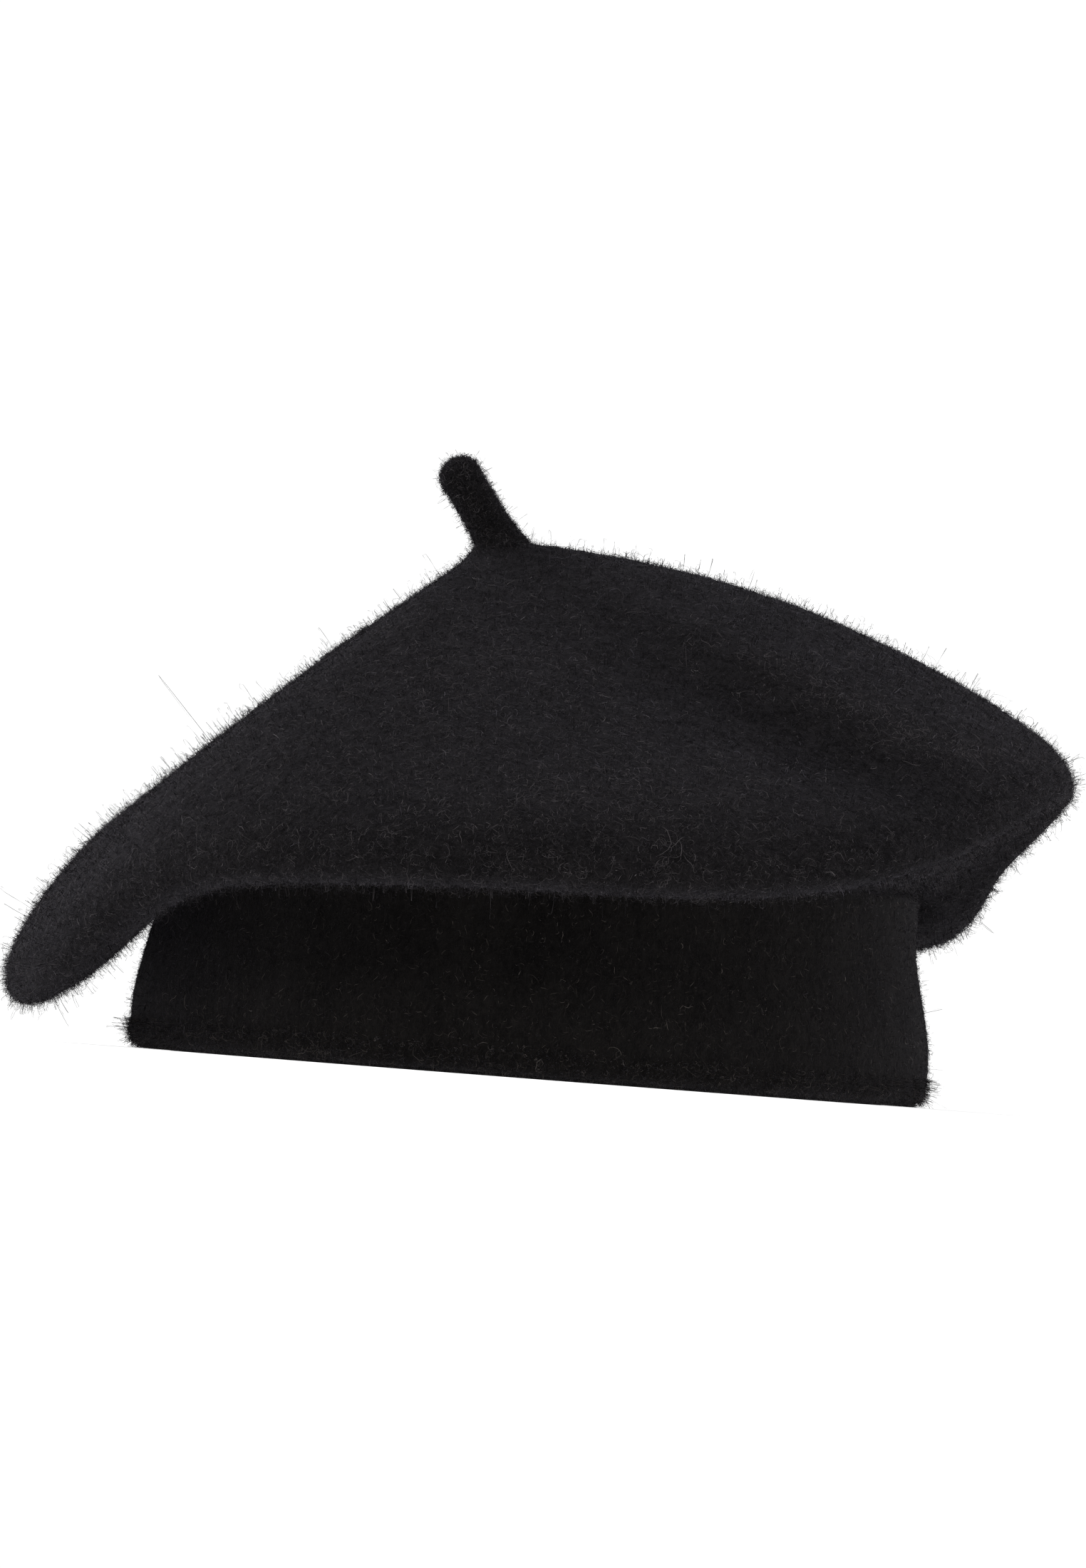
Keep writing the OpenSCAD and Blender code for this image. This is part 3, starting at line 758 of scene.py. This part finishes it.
def plied(name, ends):
    """Two twisted plies from end to end of every stitch."""
    run = ends[:, 1] - ends[:, 0]
    length = np.linalg.norm(run, axis=1)
    way = run / length[:, None]
    first = np.cross(way, np.where(np.abs(way[:, 2:]) > 0.8, (1.0, 0.0, 0.0), (0.0, 0.0, 1.0)))
    first /= np.linalg.norm(first, axis=1, keepdims=True)
    second = np.cross(way, first)
    s = np.linspace(0, 1, ply_steps)
    tubes = []
    for ply in (0, math.pi):
        twist = ply + 2 * math.pi * length[:, None] / (ply_turn * MM) * s
        aside = np.cos(twist)[..., None] * first[:, None] + np.sin(twist)[..., None] * second[:, None]
        middle = ends[:, :1] + run[:, None] * s[:, None] + ply_gap * MM * aside
        round_end = 0.25 + 0.75 * np.sqrt(1 - (2 * s - 1) ** 8)
        for side in range(ply_sides):
            b = 2 * math.pi * side / ply_sides
            out = math.cos(b) * first + math.sin(b) * second
            tubes.append(middle + ply_r * MM * round_end[:, None] * out[:, None])
    points = np.stack(tubes, 1)       # stitch, side of either ply, step
    tube = grid_faces(ply_sides, ply_steps, False)
    starts = ply_sides * ply_steps * np.arange(2 * len(ends))[:, None, None]
    piece = mesh_piece(name, points.reshape(-1, 3), (starts + tube).reshape(-1, 4))
    wear(piece, yarn)
    return piece


for seam in ("crown_seam_stitches", "join_stitches", "hem_stitches", "elastic_stitches", "outer_band_seam",
             "inner_band_seam", "stalk_stitches", "label_stitches"):
    stitches = plied(f"{seam}_yarn", stitch_ends(seam))
    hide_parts(seam)
    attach(stitches, "hat")

elastic_low, elastic_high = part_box("band_elastic")
elastic_r = inner_out_r + 0.1
elastic_t = elastic_high.x / MM - elastic_r
elastic_lap = math.degrees(12 / elastic_r)            # 12 mm of overlap
elastic_start = -90 - elastic_lap / 2
elastic_azimuths = np.linspace(elastic_start, elastic_start + 360 + elastic_lap, 420)
rib_rows, rows_per_rib, rib_depth = 61, 6, 0.16
elastic_rows = np.linspace(elastic_low.z / MM + 0.3, elastic_high.z / MM - 0.3, rib_rows)
rib = rib_depth / 2 * (1 + np.cos(2 * math.pi * np.arange(rib_rows) / rows_per_rib))
elastic_profile = np.array([(elastic_t - r, z) for r, z in zip(rib, elastic_rows)]
                           + [(elastic_t / 2, elastic_high.z / MM)]
                           + [(r, z) for r, z in zip(rib[::-1], elastic_rows[::-1])]
                           + [(elastic_t / 2, elastic_low.z / MM)])
elastic_out = elastic_t * ease((elastic_azimuths - elastic_start - 355) / 5)    # the end steps out over the start
elastic_radius = elastic_r + elastic_out[:, None] + elastic_profile[None, :, 0]
elastic_turn = np.radians(elastic_azimuths)[:, None]
elastic_grid = MM * np.stack([elastic_radius * np.cos(elastic_turn), elastic_radius * np.sin(elastic_turn),
                              np.broadcast_to(elastic_profile[None, :, 1], elastic_radius.shape)], -1)
elastic = grid_piece("braided_elastic", elastic_grid[:, ::-1], closed_rows=True, closed_around=False)
wear(elastic, threaded("braided_elastic", (0.005, 0.005, 0.005), (0.03, 0.03, 0.032), (1500, 1500, 1500), 3,
                       0.7)[0])
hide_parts("band_elastic")
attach(elastic, "hat")

# ---------------------------------------------------------------------------------------------
# Care label
# A strip of white satin folded double, blank, with both ends caught in the seam and the fold hanging free.
# ---------------------------------------------------------------------------------------------
leaf_t = 0.25
label_columns = 41
leaf_rows = 40
label_w = (label_high.x - label_low.x) / MM
label_middle = (label_low.y + label_high.y) / 2 / MM
loop_r = (label_high.y - label_low.y) / 2 / MM
label_top, label_foot = label_high.z / MM - loop_r, label_low.z / MM + loop_r


def label_path(inward):
    """The leaf's section, inward millimetres inside its outer face: down the front, round the fold, up the back."""
    r = loop_r - inward
    rows = [(-r, z) for z in np.linspace(label_top, label_foot, leaf_rows)]
    rows += [(-r * math.cos(b), label_foot - r * math.sin(b)) for b in np.radians(np.arange(15, 180, 15))]
    rows += [(r, z) for z in np.linspace(label_foot, label_top, leaf_rows)]
    return np.array(rows)


label_section = np.concatenate([label_path(0), label_path(leaf_t)[::-1]])
label_middle_line = np.concatenate([label_path(leaf_t / 2), label_path(leaf_t / 2)[::-1]])
label_rows = []
for k, x in enumerate(np.linspace(-label_w / 2, label_w / 2, label_columns)):
    at_side = k in (0, label_columns - 1)             # the woven sides close the leaf
    section = label_middle_line if at_side else label_section
    y, z = section[:, 0] + label_middle, section[:, 1]
    down = (label_top - z) / (label_top - label_foot)
    sway = 0.1 * np.maximum(0, down) * math.sin(x / label_w * 5.1 + 0.7)
    ripple = 0.05 * np.sin(down * 7 + x * 0.3)
    width = 1 - 0.006 * np.sin(down * 5 + 1)
    label_rows.append(np.stack([x * width, y - sway - ripple, z], -1))
label = grid_piece("care_label_satin", MM * np.stack(label_rows), closed_rows=True, closed_around=False)
satin, satin_shader = threaded("white_satin", (0.62, 0.61, 0.58), (0.8, 0.79, 0.77), (5200, 5200, 900), 2, 0.38,
                               relief=0.35)
satin_shader.inputs["Sheen Weight"].default_value = 0.2
wear(label, satin)
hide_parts("care_label")
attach(label, "label")

# ---------------------------------------------------------------------------------------------
# Stage, lights and camera
# A sheet of white paper on the floor, a white room, and soft lights in front, at the left and low at the right.
# ---------------------------------------------------------------------------------------------
def add_camera_share(tree, base, extra, target_socket):
    """A strength that is base for the light it gives and base + extra where it is seen."""
    seen = add(tree, "ShaderNodeLightPath").outputs["Is Camera Ray"]
    strength = add(tree, "ShaderNodeMath", {"operation": "MULTIPLY_ADD"}, i0=seen, i1=extra, i2=base)
    tree.links.new(strength.outputs[0], target_socket)


paper = bpy.data.materials.new("white_paper")
paper.use_nodes = True
paper_shader = paper.node_tree.nodes["Principled BSDF"]
paper_shader.inputs["Base Color"].default_value = (0.8, 0.8, 0.8, 1)
paper_shader.inputs["Emission Color"].default_value = (1, 1, 1, 1)
paper_shader.inputs["Roughness"].default_value = 0.9
paper_shader.inputs["Specular IOR Level"].default_value = 0.1
add_camera_share(paper.node_tree, 0.42, 0.3, paper_shader.inputs["Emission Strength"])
reach = np.array([0.0, 0.4, 1.2, 4.0])
turns = np.radians(np.arange(0, 360, 10))
floor_grid = np.stack([reach * np.cos(turns)[:, None], reach * np.sin(turns)[:, None],
                       np.zeros((len(turns), len(reach)))], -1)
stage = grid_piece("stage", floor_grid[::-1])
stage.data.materials.append(paper)

world = bpy.data.worlds.new("white_room")
bpy.context.scene.world = world
world.use_nodes = True
room = world.node_tree.nodes["Background"]
room.inputs["Color"].default_value = (1, 1, 1, 1)
add_camera_share(world.node_tree, 0.4, 0.65, room.inputs["Strength"])


def soft_box(name, at, aim, size, watts):
    """A rectangular lamp at one point, turned to another."""
    light = bpy.data.lights.new(name, "AREA")
    light.shape = "RECTANGLE"
    light.size, light.size_y = size
    light.energy = watts
    lamp = bpy.data.objects.new(name, light)
    bpy.context.scene.collection.objects.link(lamp)
    lamp.location = at
    lamp.rotation_euler = (Vector(aim) - Vector(at)).to_track_quat("-Z", "Y").to_euler()
    return lamp


soft_box("front", (-0.6, -2.2, 1.9), (0, 0, 0.07), (1.6, 1.2), 22)
soft_box("left", (-1.9, 0.5, 1.1), (0, 0, 0.07), (1.0, 1.2), 16)
soft_box("right", (2.0, -0.7, 0.25), (0, 0, 0.07), (0.8, 0.5), 9)

# A long lens level with the beret, turned a little about its own axis.
camera_data = bpy.data.cameras.new("camera")
camera = bpy.data.objects.new("camera", camera_data)
bpy.context.scene.collection.objects.link(camera)
target = Vector((-0.0013, 0, 0.0702))
distance, view_height, roll, elevation = 5.0, 0.374, math.radians(4.41), math.radians(-0.7)
forward = Vector((0, math.cos(elevation), -math.sin(elevation)))
up = Vector((0, math.sin(elevation), math.cos(elevation)))
right = forward.cross(up)
camera_up = up * math.cos(roll) - right * math.sin(roll)
camera_right = forward.cross(camera_up)
turned = Matrix((camera_right, camera_up, -forward)).transposed().to_4x4()
camera.matrix_world = Matrix.Translation(target - forward * distance) @ turned
camera_data.sensor_fit = "VERTICAL"
camera_data.sensor_height = 36
camera_data.lens = 36 * distance / view_height
camera_data.clip_end = 100
bpy.context.scene.camera = camera
bpy.context.scene.view_settings.view_transform = "Standard"
